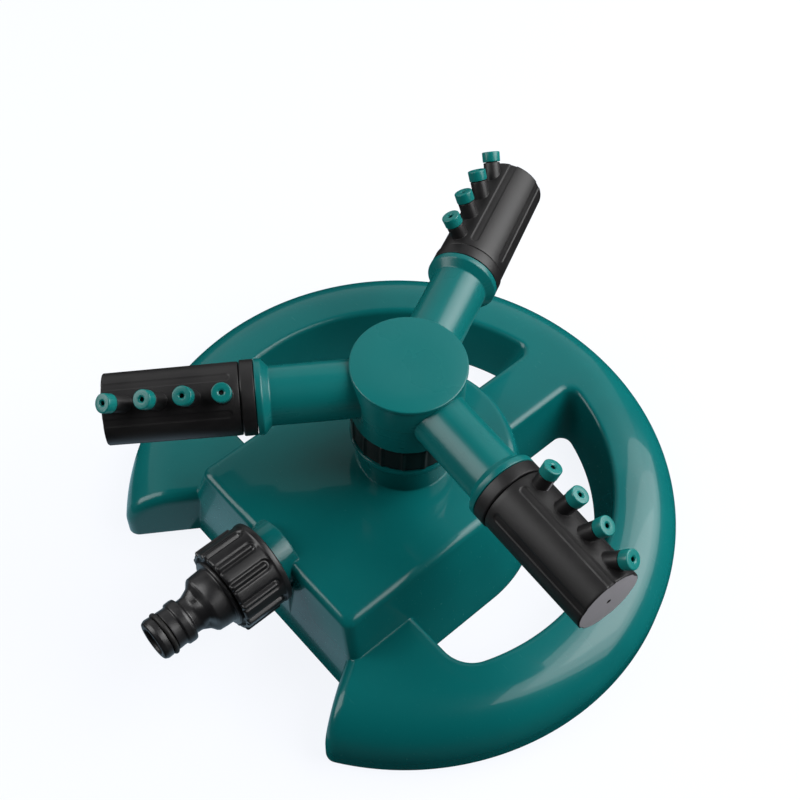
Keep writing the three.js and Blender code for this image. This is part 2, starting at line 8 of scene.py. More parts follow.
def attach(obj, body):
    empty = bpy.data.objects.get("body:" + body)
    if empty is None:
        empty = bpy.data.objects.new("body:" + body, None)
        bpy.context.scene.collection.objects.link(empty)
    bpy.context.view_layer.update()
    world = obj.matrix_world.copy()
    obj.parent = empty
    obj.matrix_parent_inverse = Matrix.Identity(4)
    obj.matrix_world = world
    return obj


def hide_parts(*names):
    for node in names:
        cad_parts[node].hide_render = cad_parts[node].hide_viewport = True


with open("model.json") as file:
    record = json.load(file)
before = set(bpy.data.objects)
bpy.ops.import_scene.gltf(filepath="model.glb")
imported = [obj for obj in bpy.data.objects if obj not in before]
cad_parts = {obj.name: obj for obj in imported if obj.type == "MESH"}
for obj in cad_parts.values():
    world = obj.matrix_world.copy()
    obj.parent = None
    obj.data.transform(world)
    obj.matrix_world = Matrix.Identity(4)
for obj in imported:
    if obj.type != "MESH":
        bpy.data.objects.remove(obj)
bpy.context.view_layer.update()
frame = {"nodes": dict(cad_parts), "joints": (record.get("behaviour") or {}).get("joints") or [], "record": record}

# Lengths in the dictionaries are millimetres, angles are degrees.
mm = 0.001
joints = {joint["name"]: joint for joint in frame["joints"]}
rotorPos = Vector(joints["rotor_spin"]["pos_m"]) / mm
hosePos = Vector(joints["nut_turn"]["pos_m"]) / mm
# heights from the ground, on the rotor's axis
groundFrame = Matrix.Translation((rotorPos.x, rotorPos.y, 0))
quarterTurn = Matrix.Rotation(math.radians(90), 4, "X")
# heights from the rotor's axis, along the inlet
hoseFrame = Matrix.Translation((hosePos.x, rotorPos.y, hosePos.z)) @ quarterTurn
armCount = 3


def armFrame(number, twist=0.0):
    # Z runs out along the arm from the rotor's axis, and X is up, turned by the twist.
    outwards = Vector(joints[f"barrel_{number}_twist"]["axis"])
    level = Vector((0, 0, 1)).cross(outwards)
    angle = math.radians(twist)
    up = Vector((0, 0, 1)) * math.cos(angle) + level * math.sin(angle)
    turned = Matrix((up, outwards.cross(up), outwards)).transposed().to_4x4()
    return Matrix.Translation((rotorPos.x, rotorPos.y, rotorPos.z)) @ turned


# The angle runs round the object from the hose side towards +X. The height is an angle as well.
cameraView = {
    "angle": 46.58, "height": 54.72, "roll": 2.48,
    "distance": 568.72, "lens": 59.32, "aim": (-40.39, 34.69, 0),
}


def direction(angle, height):
    level = math.cos(height)
    return Vector((math.sin(angle) * level, -math.cos(angle) * level, math.sin(height)))


def makeCamera():
    angle = math.radians(cameraView["angle"])
    height = math.radians(cameraView["height"])
    roll = math.radians(cameraView["roll"])
    back = direction(angle, height)
    right = Vector((math.cos(angle), math.sin(angle), 0))
    up = back.cross(right)
    level = right * math.cos(roll) + up * math.sin(roll)
    upright = up * math.cos(roll) - right * math.sin(roll)
    place = groundFrame @ Vector(cameraView["aim"]) + back * cameraView["distance"]
    data = bpy.data.cameras.new("camera")
    data.lens = cameraView["lens"]
    data.sensor_width = 36
    data.clip_start = 0.01
    camera = bpy.data.objects.new("camera", data)
    turned = Matrix((level, upright, back)).transposed().to_4x4()
    camera.matrix_world = Matrix.Translation(place * mm) @ turned
    bpy.context.scene.collection.objects.link(camera)
    bpy.context.scene.camera = camera


makeCamera()
print("camera placed")


class Wire:
    # A socket that can be used in sums.
    def __init__(self, sheet, socket):
        self.sheet, self.socket = sheet, socket

    def sum(self, operation, other):
        return self.sheet.node("ShaderNodeMath", {"operation": operation}, [self, other])

    def __add__(self, other):
        return self.sum("ADD", other)

    def __mul__(self, other):
        return self.sum("MULTIPLY", other)

    __radd__ = __add__
    __rmul__ = __mul__


class Sheet:
    # The node tree of one material.
    def __init__(self, name):
        self.material = bpy.data.materials.new(name)
        self.material.use_nodes = True
        self.tree = self.material.node_tree
        self.tree.nodes.clear()
        self.place = self.node("ShaderNodeTexCoord", output="Object")

    def node(self, kind, settings={}, values={}, output=0):
        made = self.tree.nodes.new(kind)
        for key, value in settings.items():
            setattr(made, key, value)
        pairs = values.items() if isinstance(values, dict) else enumerate(values)
        for key, value in pairs:
            self.feed(made.inputs[key], value)
        return Wire(self, made.outputs[output])

    def feed(self, socket, value):
        if isinstance(value, Wire):
            self.tree.links.new(value.socket, socket)
        else:
            socket.default_value = value

    def noise(self, scale, detail=3.0, rough=0.5, stretch=(1, 1, 1), output=0):
        moved = self.node("ShaderNodeMapping", {}, {"Vector": self.place, "Scale": stretch})
        values = {"Vector": moved, "Scale": scale, "Detail": detail, "Roughness": rough}
        return self.node("ShaderNodeTexNoise", {}, values, output)

    def between(self, value, low, high):
        # 0 where value is low or less, 1 where it is high or more
        smooth = {"interpolation_type": "SMOOTHSTEP"}
        return self.node("ShaderNodeMapRange", smooth, [value, low, high, 0.0, 1.0])

    def blend(self, share, first, second):
        made = self.tree.nodes.new("ShaderNodeMix")
        made.data_type = "RGBA"
        # the Mix node's colour sockets: its share, first and second colour, and its result
        for place, value in zip((0, 6, 7), (share, first, second)):
            self.feed(made.inputs[place], value)
        return Wire(self, made.outputs[2])

    def softEdges(self, radius):
        return self.node("ShaderNodeBevel", {"samples": 6}, {"Radius": radius * mm})

    def bump(self, height, strength, distance, under=None):
        values = {"Strength": strength, "Distance": distance * mm, "Height": height}
        if under:
            values["Normal"] = under
        return self.node("ShaderNodeBump", {}, values)

    def finish(self, **values):
        spaced = {key.replace("_", " "): value for key, value in values.items()}
        shader = self.node("ShaderNodeBsdfPrincipled", {}, spaced)
        out = self.tree.nodes.new("ShaderNodeOutputMaterial")
        self.tree.links.new(shader.socket, out.inputs["Surface"])
        return self.material


def colour(red, green, blue):
    return (red, green, blue, 1)


# Shine is the plastic's own reflection and polish that of its smooth skin. Edge is how far the
# shading rounds an edge off.
tealShell = {
    "body": colour(0.0012, 0.068, 0.068), "deep": colour(0.001, 0.059, 0.060),
    "rough": 0.26, "ripple": 0.04, "edge": 1.1, "shine": 0.09, "polish": 0.23,
}
tealRotor = {
    "body": colour(0.0012, 0.068, 0.067), "deep": colour(0.001, 0.060, 0.060),
    "rough": 0.28, "ripple": 0.08, "edge": 0.4, "shine": 0.19, "polish": 0.03,
}
tealTip = {
    "body": colour(0.002, 0.088, 0.082), "deep": colour(0.0015, 0.074, 0.070),
    "rough": 0.28, "ripple": 0.08, "edge": 0.25, "shine": 0.20, "polish": 0.03,
}
scuffedTeal = colour(0.02, 0.11, 0.108)


def makeTeal(name, look):
    sheet = Sheet(name)
    clouds = sheet.noise(18, 4)
    flow = sheet.noise(55, 3, stretch=(1, 1, 3))
    scuffs = sheet.between(sheet.noise(140, 6, 0.7, (1, 6, 2)), 0.62, 0.78)
    dust = sheet.between(sheet.noise(900, 2, 0.6), 0.70, 0.80)
    body = sheet.blend(sheet.between(clouds, 0.35, 0.7), look["body"], look["deep"])
    worn = sheet.blend(scuffs * 0.06 + dust * 0.04, body, scuffedTeal)
    rough = flow * 0.06 + scuffs * 0.10 + dust * 0.12 + (look["rough"] - 0.03)
    height = sheet.noise(9, 2) * 3 + sheet.noise(420, 3) * 0.06 + scuffs * 0.05
    normal = sheet.bump(height, look["ripple"], 0.8, sheet.softEdges(look["edge"]))
    return sheet.finish(
        Base_Color=worn, Roughness=rough, IOR=1.5, Specular_IOR_Level=look["shine"], Normal=normal,
        Coat_Weight=look["polish"], Coat_Roughness=0.03, Coat_Normal=normal)


blackBarrel = {
    "body": colour(0.0052, 0.005, 0.0053), "worn": colour(0.0125, 0.012, 0.012),
    # end is the pale grey painted on the flat end face, a painted highlight
    "end": colour(0.140, 0.137, 0.147), "rough": 0.42, "grain": 0.26, "edge": 0.35, "shine": 0.19,
}
blackFitting = {
    "body": colour(0.004, 0.004, 0.0044), "worn": colour(0.012, 0.012, 0.013),
    "rough": 0.38, "grain": 0.06, "edge": 0.3, "shine": 0.32,
}
sealRubber = {
    "body": colour(0.005, 0.005, 0.005), "worn": colour(0.012, 0.0115, 0.011),
    "rough": 0.55, "grain": 0.30, "edge": 0.15, "shine": 0.2,
}


def makeBlack(name, look, paintedHighlightEndAxis=None):
    # The axis given points out of a flat end, which is painted much paler grey as a painted highlight and is made
    # duller.
    sheet = Sheet(name)
    flow = sheet.noise(60, 4, stretch=(1, 1, 2.5))
    grain = sheet.noise(1500, 3, 0.6)
    scuffs = sheet.between(sheet.noise(260, 6, 0.7, (5, 1, 2)), 0.60, 0.80)
    specks = sheet.between(sheet.noise(1100, 2, 0.5), 0.74, 0.80)
    wear = sheet.between(flow, 0.35, 0.75) * 0.5 + scuffs * 0.35 + specks * 0.5
    body = sheet.blend(wear, look["body"], look["worn"])
    rough = flow * 0.10 + grain * 0.08 + scuffs * 0.08 + (look["rough"] - 0.09)
    if paintedHighlightEndAxis:
        facing = sheet.node("ShaderNodeTexCoord", output="Normal")
        product = {"operation": "DOT_PRODUCT"}
        along = sheet.node("ShaderNodeVectorMath", product, [facing, paintedHighlightEndAxis], output="Value")
        # painted highlight: the face turned along the axis is painted pale grey
        flat = sheet.between(along, 0.97, 0.995)
        body = sheet.blend(flat, body, look["end"])
        rough = rough + flat * 0.2
    height = grain * 0.5 + flow * 0.8 + scuffs * 0.2
    normal = sheet.bump(height, look["grain"], 0.12, sheet.softEdges(look["edge"]))
    return sheet.finish(
        Base_Color=body, Roughness=rough, IOR=1.5, Specular_IOR_Level=look["shine"], Normal=normal)


bearingPlastic = {"body": colour(0.62, 0.61, 0.56), "worn": colour(0.50, 0.48, 0.42), "rough": 0.38}


def makeBearing(name, look):
    sheet = Sheet(name)
    clouds = sheet.noise(120, 4)
    turning = sheet.noise(900, 2, 0.5, (0.05, 0.05, 1))
    body = sheet.blend(sheet.between(clouds, 0.4, 0.7), look["body"], look["worn"])
    normal = sheet.bump(turning, 0.15, 0.1, sheet.softEdges(0.2))
    return sheet.finish(Base_Color=body, Roughness=clouds * 0.1 + look["rough"], Normal=normal)


finishes = {
    "teal_shell": makeTeal("tealShell", tealShell),
    "teal_rotor": makeTeal("tealRotor", tealRotor),
    "teal_tip": makeTeal("tealTip", tealTip),
    "black_barrel": makeBlack("blackBarrel", blackBarrel),
    "black_fitting": makeBlack("blackFitting", blackFitting),
    "seal_rubber": makeBlack("sealRubber", sealRubber),
    "bearing_plastic": makeBearing("bearingPlastic", bearingPlastic),
}
print("finishes made:", len(finishes))


def rounded(corners, steps=4):
    # Corners are (across, along, radius); each radius becomes an arc that meets both sides.
    path = []
    for place, (x, y, *radius) in enumerate(corners):
        corner = Vector((x, y))
        if not radius or 0 in (place, len(corners) - 1):
            path.append(corner)
            continue
        before = (Vector(corners[place - 1][:2]) - corner).normalized()
        after = (Vector(corners[place + 1][:2]) - corner).normalized()
        half = before.angle(after) / 2
        start = corner + before * (radius[0] / math.tan(half))
        centre = corner + (before + after).normalized() * (radius[0] / math.sin(half))
        end = corner + after * (radius[0] / math.tan(half))
        sweep = (start - centre).angle(end - centre)
        for step in range(steps + 1):
            first = math.sin((1 - step / steps) * sweep) / math.sin(sweep)
            second = math.sin(step / steps * sweep) / math.sin(sweep)
            spoke = (start - centre) * first + (end - centre) * second
            path.append(centre + spoke)
    return path


def turn(shape, geometry, steps):
    # Sweeps the geometry once round Z and closes the result.
    bmesh.ops.spin(
        shape, geom=geometry, cent=(0, 0, 0), axis=(0, 0, 1), angle=math.tau, steps=steps, use_merge=True)


def spin(profile, steps=96, closed=False):
    # A turned solid about Z, from (radius, height) points. Closed joins the last point to the first.
    shape = bmesh.new()
    row = [shape.verts.new((radius, 0, height)) for radius, height in profile]
    edges = [shape.edges.new(pair) for pair in zip(row, row[1:] + row[:1])]
    if not closed:
        shape.edges.remove(edges.pop())
    turn(shape, row + edges, steps)
    bmesh.ops.remove_doubles(shape, verts=shape.verts, dist=1e-5)
    bmesh.ops.recalc_face_normals(shape, faces=shape.faces)
    return shape


def loft(levels):
    # A closed solid through outlines of equally many points, each with its height.
    shape = bmesh.new()
    height, outline = levels[0]
    row = [shape.verts.new((point.x, point.y, height)) for point in outline]
    shape.faces.new(row)
    edges = [shape.edges.get(pair) for pair in zip(row, row[1:] + row[:1])]
    for height, outline in levels[1:]:
        places = {tuple(vert.co): place for place, vert in enumerate(row)}
        grown = bmesh.ops.extrude_edge_only(shape, edges=edges)["geom"]
        fresh = {places[tuple(item.co)]: item for item in grown if isinstance(item, bmesh.types.BMVert)}
        row = [fresh[place] for place in range(len(outline))]
        for vert, point in zip(row, outline):
            vert.co = (point.x, point.y, height)
        edges = [shape.edges.get(pair) for pair in zip(row, row[1:] + row[:1])]
    shape.faces.new(row)
    bmesh.ops.recalc_face_normals(shape, faces=shape.faces)
    return shape


def arc(centre, radius, start, end, steps):
    angles = [start + (end - start) * step / steps for step in range(steps + 1)]
    return [
        Vector((centre[0] + radius * math.cos(angle), centre[1] + radius * math.sin(angle)))
        for angle in angles]


def mirrored(outline):
    return [Vector((-point.x, point.y)) for point in reversed(outline)]


def workObject(shape, name="work"):
    mesh = bpy.data.meshes.new(name)
    shape.to_mesh(mesh)
    shape.free()
    made = bpy.data.objects.new(name, mesh)
    bpy.context.scene.collection.objects.link(made)
    return made


def combine(target, tools, operation):
    # Joins the tools to the target, or cuts them from it, and clears them away.
    for tool in tools:
        modifier = target.modifiers.new("combine", "BOOLEAN")
        modifier.operation = operation
        modifier.object = tool
        modifier.solver = "MANIFOLD"
    bpy.context.view_layer.update()
    evaluated = target.evaluated_get(bpy.context.evaluated_depsgraph_get())
    result = bpy.data.meshes.new_from_object(evaluated)
    target.modifiers.clear()
    target.data = result
    for tool in tools:
        bpy.data.objects.remove(tool)
    return target


def pieceFrom(made, name, place, body, slot, nodes, sharp=30):
    # Puts the finished shape in its place in metres, smooth but for its sharp edges.
    made.name = name
    made.data.name = name
    made.data.transform(Matrix.Scale(mm, 4) @ place)
    made.data.shade_smooth()
    made.data.set_sharp_from_angle(angle=math.radians(sharp))
    made.data.materials.clear()
    made.data.materials.append(finishes[slot])
    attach(made, body)
    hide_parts(*nodes)
    return made


shell = {
    "radius": 110, "top": 24.2, "wall": 2.6,
    "innerTop": 83, "innerFoot": 78.6,
    "shoulderWidth": 20, "shoulderHeight": 17.2,
    "gapHalfAngle": 33.5, "endRound": 4.5, "edge": 2.0,
    "blockTop": 42.8, "blockHalfTop": 42.6, "blockHalfFoot": 54.5,
    "blockFrontTop": 64.6, "blockFrontFoot": 68.3, "blockEdge": 3, "blockCorner": 4,
    "spokeHalfTop": 11.8, "spokeHalfFoot": 17.6, "spokeFillet": 4.5,
    "webBackTop": -38, "webBackFoot": -33, "webFillet": 13,
    "inletRadius": 12.4, "inletBack": 60, "inletFront": 68.2, "bossFront": 67.4,
    "threadRadius": 13, "threadEnd": 80.5,
    "inletBore": 9, "boreBack": 62.6, "boreFront": 82,
    "neckRadius": 18.5, "flareStart": 54, "flangeRadius": 21, "flangeBottom": 57.2, "flangeTop": 59.2,
    "neckThread": 15, "neckTop": 68.2, "neckBore": 7.5,
    "seat": 62.4, "seatTop": 70, "seatRadius": 12.8,
    "socketRadius": 9, "socketBottom": 39, "socketTop": 46,
}


def lerp(first, second, share):
    return first + (second - first) * share


def openingOutline(height, out):
    # One see-through opening, on the +X side; out makes it wider all round.
    depth = (shell["top"] - height) / shell["top"]
    outer = lerp(shell["innerTop"], shell["innerFoot"], depth) + out
    side = lerp(shell["spokeHalfTop"], shell["spokeHalfFoot"], depth) - out
    back = lerp(shell["webBackTop"], shell["webBackFoot"], depth) - out
    inner = shell["blockHalfTop"] - 2 - out
    webFillet, spokeFillet = shell["webFillet"] + out, shell["spokeFillet"] + out
    webY = back + webFillet
    webX = math.sqrt((outer - webFillet) ** 2 - webY ** 2)
    spokeX = side + spokeFillet
    spokeY = math.sqrt((outer - spokeFillet) ** 2 - spokeX ** 2)
    webAngle, spokeAngle = math.atan2(webY, webX), math.atan2(spokeY, spokeX)
    outline = [Vector((inner, back))]
    outline += arc((webX, webY), webFillet, -math.pi / 2, webAngle, 14)
    outline += arc((0, 0), outer, webAngle, spokeAngle, 72)[1:-1]
    outline += arc((spokeX, spokeY), spokeFillet, spokeAngle, math.pi, 10)
    outline += arc((0, 0), inner, math.acos(side / inner), 0, 24)
    return outline


def gapOutline(out):
    # The open front between the ring's two ends, up to where their rounding starts.
    half = math.radians(shell["gapHalfAngle"])
    along = Vector((math.sin(half), -math.cos(half)))
    across = Vector((-along.y, along.x))
    offset = out + shell["endRound"]
    beyond = Vector((shell["radius"] * 0.5, -shell["radius"] * 1.4))
    right = [across * offset + along * shell["radius"] * 1.1, beyond]
    apex = Vector((0, offset / math.sin(half)))
    return mirrored(right) + [apex] + right


def shoulderPoints(inset, steps):
    # The ring's outer slope from its vertical side to its flat top, as (radius, height).
    points = []
    for step in range(steps + 1):
        angle = step * math.pi / 2 / steps
        width, rise = shell["shoulderWidth"], shell["shoulderHeight"]
        across = shell["radius"] - width + (width - inset) * math.cos(angle)
        height = shell["top"] - rise + (rise - inset) * math.sin(angle)
        points.append((across, height))
    return points


def ringEnd(side):
    # The last few millimetres of the ring beside the gap, whose outer edges are rounded.
    half = math.radians(shell["gapHalfAngle"])
    along = Vector((math.sin(half), -math.cos(half), 0))
    outwards = Vector((along.y, -along.x, 0))
    reach = shell["endRound"]
    root, overlap = 45, 0.02  # how far in the end starts, and how far it reaches into the ring
    levels = []
    for step in range(11):
        angle = step * math.pi / 20
        away = reach * (1 - math.sin(angle))
        inset = reach * (1 - math.cos(angle))
        points = [(shell["radius"] - inset, 0)] + shoulderPoints(inset, 24)
        outline = [Vector((root, 0))]
        outline += [Vector((math.sqrt(radius ** 2 - away ** 2), height)) for radius, height in points]
        outline.append(Vector((root, shell["top"] - inset)))
        levels.append((-away - (overlap if step == 0 else 0), outline))
    shape = loft(levels)
    place = Matrix((along, Vector((0, 0, 1)), outwards)).transposed().to_4x4()
    bmesh.ops.transform(shape, verts=shape.verts, matrix=Matrix.Diagonal((side, 1, 1, 1)) @ place)
    bmesh.ops.recalc_face_normals(shape, faces=shape.faces)
    return workObject(shape)


def blockOutline(half, front):
    corner = shell["blockCorner"]
    outline = arc((-half + corner, -front + corner), corner, math.pi, 1.5 * math.pi, 8)
    outline += arc((half - corner, -front + corner), corner, -0.5 * math.pi, 0, 8)
    outline += arc((0, 0), half, 0, math.pi, 96)
    return outline


def blockShape(inset, foot):
    def level(height, roll):
        depth = (shell["blockTop"] - height) / shell["blockTop"]
        half = lerp(shell["blockHalfTop"], shell["blockHalfFoot"], depth) - inset - roll
        front = lerp(shell["blockFrontTop"], shell["blockFrontFoot"], depth) - inset - roll
        return height - (inset if height > 0 else 0), blockOutline(half, front)
    edge = shell["blockEdge"]
    angles = [step * math.pi / 16 for step in range(9)]
    rolled = [
        level(shell["blockTop"] - edge * (1 - math.sin(angle)), edge * (1 - math.cos(angle)))
        for angle in angles]
    return loft([level(foot, 0)] + rolled)


def baseForm(inset):
    # Ring, spoke, webs, block and the boss under the inlet, smaller all round by the inset.
    foot = -1 if inset else 0
    past = 3  # how far a cutting shape reaches beyond what it cuts
    profile = [(0, foot), (shell["radius"] - inset, foot)]
    profile += shoulderPoints(inset, 24) + [(0, shell["top"] - inset)]
    plate = workObject(spin(profile, 96 if inset else 288))
    edge = 0 if inset else shell["edge"]
    top = shell["top"]
    angles = [step * math.pi / 12 for step in range(7)] if edge else [0]
    levels = [(-past, 0)]
    levels += [(top - edge * (1 - math.sin(angle)), edge * (1 - math.cos(angle))) for angle in angles]
    levels.append((top + past, levels[-1][1]))
    right = [(height, openingOutline(min(height, top), inset + out)) for height, out in levels]
    left = [(height, mirrored(outline)) for height, outline in right]
    gap = [(height, gapOutline(inset)) for height in (-past, top + past)]
    combine(plate, [workObject(loft(levels)) for levels in (right, left, gap)], "DIFFERENCE")
    depth = shell["bossFront"] - inset - shell["inletBack"]
    height = hosePos.z - shell["inletRadius"] / 2
    boss = bmesh.new()
    bmesh.ops.create_cube(boss, size=1)
    size = Vector((2 * (shell["inletRadius"] - inset), depth, height - foot))
    middle = Vector((0, -shell["inletBack"] - depth / 2, (height + foot) / 2))
    placed = Matrix.Translation(middle) @ Matrix.Diagonal(size).to_4x4()
    bmesh.ops.transform(boss, verts=boss.verts, matrix=placed)
    added = [workObject(blockShape(inset, foot)), workObject(boss)]
    if not inset:
        added += [ringEnd(1), ringEnd(-1)]
    return combine(plate, added, "UNION")


def makeBaseShell():
    whole = combine(baseForm(0), [baseForm(shell["wall"])], "DIFFERENCE")
    collar = shell["inletRadius"]
    thread = shell["threadRadius"]
    inlet = spin(rounded([
        (0, shell["inletBack"]), (collar, shell["inletBack"], 0.4), (collar, shell["inletFront"], 0.2),
        (thread, shell["inletFront"] + 0.6), (thread, shell["threadEnd"] - 1),
        (thread - 1, shell["threadEnd"]), (0, shell["threadEnd"])]), 96)
    bmesh.ops.transform(inlet, verts=inlet.verts, matrix=groundFrame.inverted() @ hoseFrame)
    neckFoot = shell["blockTop"] - shell["wall"]
    neck = spin(rounded([
        (0, neckFoot), (shell["neckRadius"], neckFoot), (shell["neckRadius"], shell["flareStart"], 3),
        (shell["flangeRadius"], shell["flangeBottom"], 0.6),
        (shell["flangeRadius"], shell["flangeTop"], 0.5),
        (shell["neckThread"], shell["flangeTop"]), (shell["neckThread"], shell["neckTop"]),
        (0, shell["neckTop"])]), 128)
    combine(whole, [workObject(inlet), workObject(neck)], "UNION")
    bore = shell["inletBore"]
    inletBore = spin([
        (0, shell["boreBack"]), (bore, shell["boreBack"]), (bore, shell["boreFront"]),
        (0, shell["boreFront"])], 64)
    bmesh.ops.transform(inletBore, verts=inletBore.verts, matrix=groundFrame.inverted() @ hoseFrame)
    neckBore = spin([
        (0, shell["socketBottom"]), (shell["socketRadius"], shell["socketBottom"]),
        (shell["socketRadius"], shell["socketTop"]), (shell["neckBore"], shell["socketTop"]),
        (shell["neckBore"], shell["seat"]), (shell["seatRadius"], shell["seat"]),
        (shell["seatRadius"], shell["seatTop"]), (0, shell["seatTop"])], 64)
    combine(whole, [workObject(inletBore), workObject(neckBore)], "DIFFERENCE")
    return pieceFrom(whole, "baseShell", groundFrame, "base", "teal_shell", ["base_shell"])


makeBaseShell()
print("base shell made")


swivelNut = {
    "back": 68, "front": 88.1, "radius": 16.3, "rearRadius": 16.6, "ribCount": 12, "ribStart": 71.2,
    "ribHalf": 1.05, "grooveHalf": 2.2, "ribHeight": 0.7, "grooveDepth": 0.6,
    "lipBore": 12.2, "recess": 86.4, "recessRadius": 14.4, "threadBore": 13.3, "lip": 84.5,
}


def onSurface(shape, change, fromRadius):
    # Moves the outer skin of a turned shape in or out by what change gives for each of its points.
    for vert in shape.verts:
        radius = math.hypot(vert.co.x, vert.co.y)
        if radius > fromRadius:
            factor = 1 + change(math.atan2(vert.co.y, vert.co.x), vert.co.z, radius) / radius
            vert.co.x *= factor
            vert.co.y *= factor


def nearestCopy(angle, count, radius):
    # Distance round the surface to the middle of the nearest of so many evenly spaced copies.
    pitch = math.tau / count
    return abs((angle / pitch + 0.5) % 1 - 0.5) * pitch * radius


def bumpAt(distance, half):
    return 0.5 + 0.5 * math.cos(math.pi * distance / half) if distance < half else 0


def makeSwivelNut():
    look = swivelNut
    profile = rounded([
        (look["threadBore"], look["back"]), (look["rearRadius"], look["back"], 0.9),
        (look["rearRadius"], 70.2, 0.4), (look["radius"], 70.6)])
    profile += [Vector((look["radius"], look["ribStart"] + 0.25 * step)) for step in range(14)]
    profile += [Vector((look["radius"], height)) for height in (75.5, 78, 81, 84)]
    profile += rounded([
        (look["radius"], 86), (look["radius"], look["front"] - 0.5, 0.8),
        (look["recessRadius"] + 0.5, look["front"], 0.4), (look["recessRadius"], look["recess"], 0.3),
        (look["lipBore"], look["recess"], 0.3), (look["lipBore"], look["lip"]),
        (look["threadBore"], look["lip"])])
    shape = spin(profile, look["ribCount"] * 26, closed=True)

    def ribs(angle, height, radius):
        across = nearestCopy(angle, look["ribCount"], look["radius"])
        start = look["ribStart"] + look["grooveHalf"]
        distance = math.hypot(across, max(0, start - height))
        crown = look["ribHeight"] * min(1, 1.6 * bumpAt(distance, look["ribHalf"]))
        fromGroove = abs(distance - (look["ribHalf"] + look["grooveHalf"]) / 2)
        grooveWidth = (look["grooveHalf"] - look["ribHalf"]) / 1.3
        groove = look["grooveDepth"] * min(1, 1.4 * bumpAt(fromGroove, grooveWidth))
        fade = min(1, max(0, (radius - look["recessRadius"] - 0.4) / 1.2))
        return (crown - groove) * fade if height > look["ribStart"] - 1 else 0

    onSurface(shape, ribs, look["recessRadius"] + 0.4)
    return pieceFrom(workObject(shape), "swivelNut", hoseFrame, "nut", "black_fitting", ["swivel_nut"], 50)


hoseNipple = {
    "flangeStart": 86.9, "flangeEnd": 89.2, "flangeRadius": 13.6, "collarRadius": 11.3, "collarEnd": 95.6,
    "neckRadius": 6.9, "bore": 4.9, "noseEnd": 117.5,
    "flatCount": 4, "flatDepth": 1.6, "flatMiddle": 98.2, "flatHalfLength": 5, "flatHalfWidth": 7.6,
}


def makeHoseNipple():
    look = hoseNipple
    flange, collar = look["flangeRadius"], look["collarRadius"]
    neck, bore = look["neckRadius"], look["bore"]
    inNut = [
        (bore, 83.1), (12.4, 83.1, 0.3), (12.4, 84.2, 0.2), (11.9, 84.5), (11.9, look["flangeStart"]),
        (12.6, look["flangeStart"], 0.2), (12.6, 88.0, 0.2), (flange - 0.2, 88.0, 0.3),
        (flange - 0.4, look["flangeEnd"], 0.4)]
    collarSide = [
        (collar, look["flangeEnd"], 0.5), (collar - 0.1, 91), (collar - 0.2, 93),
        (collar - 0.3, look["collarEnd"], 0.7), (collar - 0.9, look["collarEnd"] + 0.8, 0.6)]
    waist = [(8.6, 97.8, 1.6), (neck, 100.8, 3), (neck - 0.1, 103.2, 0.5)]
    catch = [
        (8.3, 104.0, 0.4), (8.5, 105.0, 0.4), (8.4, 107.3, 0.5), (7.6, 107.8, 0.3), (7.6, 109.0),
        (7.7, 110.9, 0.2), (7.7, 111.4, 0.2)]
    nose = [
        (6.5, 111.4), (6.5, 113.9), (7.9, 113.9, 0.3), (8.0, 116.0, 0.6), (7.4, look["noseEnd"], 0.9),
        (bore + 0.6, look["noseEnd"], 0.3), (bore, look["noseEnd"] - 0.7)]
    profile = rounded(inNut + collarSide + waist + catch + nose, 5)
    shape = spin(profile, 144, closed=True)

    def flats(angle, height, radius):
        # Shallow scallops round the collar, for a hand's grip.
        across = nearestCopy(angle, look["flatCount"], look["collarRadius"])
        along = bumpAt(abs(height - look["flatMiddle"]), look["flatHalfLength"])
        return -look["flatDepth"] * along * bumpAt(across, look["flatHalfWidth"]) if height < 101 else 0

    onSurface(shape, flats, 8.2)
    made = workObject(shape)
    return pieceFrom(made, "hoseNipple", hoseFrame, "nipple", "black_fitting", ["hose_nipple"], 40)


nippleSeal = {"radius": 7.55, "section": 0.95, "middle": 112.65}


def makeNippleSeal():
    look = nippleSeal
    shape = bmesh.new()
    bmesh.ops.create_circle(shape, segments=20, radius=look["section"])
    bmesh.ops.rotate(shape, verts=shape.verts, cent=(0, 0, 0), matrix=quarterTurn.to_3x3())
    bmesh.ops.translate(shape, verts=shape.verts, vec=(look["radius"], 0, look["middle"]))
    turn(shape, shape.verts[:] + shape.edges[:], 96)
    bmesh.ops.recalc_face_normals(shape, faces=shape.faces)
    made = workObject(shape)
    return pieceFrom(made, "nippleSeal", hoseFrame, "nipple", "seal_rubber", ["nipple_o_ring"])


makeSwivelNut()
makeHoseNipple()
makeNippleSeal()
print("hose connection made")


bearingNut = {
    "radius": 20.1, "bottom": 59.5, "top": 71, "bore": 15.3, "lipBore": 8.8, "lip": 68.5,
    "ribCount": 16, "ribHalf": 0.9, "ribHeight": 0.6,
}


def makeBearingNut():
    look = bearingNut
    radius = look["radius"]
    profile = rounded([
        (look["bore"], look["bottom"]), (radius, look["bottom"], 0.4), (radius, look["bottom"] + 1.2),
        (radius, look["top"] - 1.4), (radius - 0.2, look["top"], 0.6), (look["lipBore"], look["top"]),
        (look["lipBore"], look["lip"]), (look["bore"], look["lip"])])
    shape = spin(profile, look["ribCount"] * 16, closed=True)

    def ribs(angle, height, radius):
        across = nearestCopy(angle, look["ribCount"], look["radius"])
        return look["ribHeight"] * min(1, 1.5 * bumpAt(across, look["ribHalf"]))

    onSurface(shape, ribs, look["radius"] - 0.3)
    made = workObject(shape)
    return pieceFrom(made, "bearingNut", groundFrame, "base", "black_barrel", ["bearing_nut"], 45)


rotorHub = {
    "radius": 20.7, "bottom": 71.3, "top": 95.7, "seam": 84.5, "seamDepth": 0.12,
    "tubeRadius": 10.65, "coneStart": 49, "collarStart": 51.6, "collarEnd": 53.8, "collarRadius": 13.5,
    "spigotRadius": 9.6, "spigotEnd": 72, "grooveStart": 64, "grooveEnd": 66.4, "grooveRadius": 7.9,
}


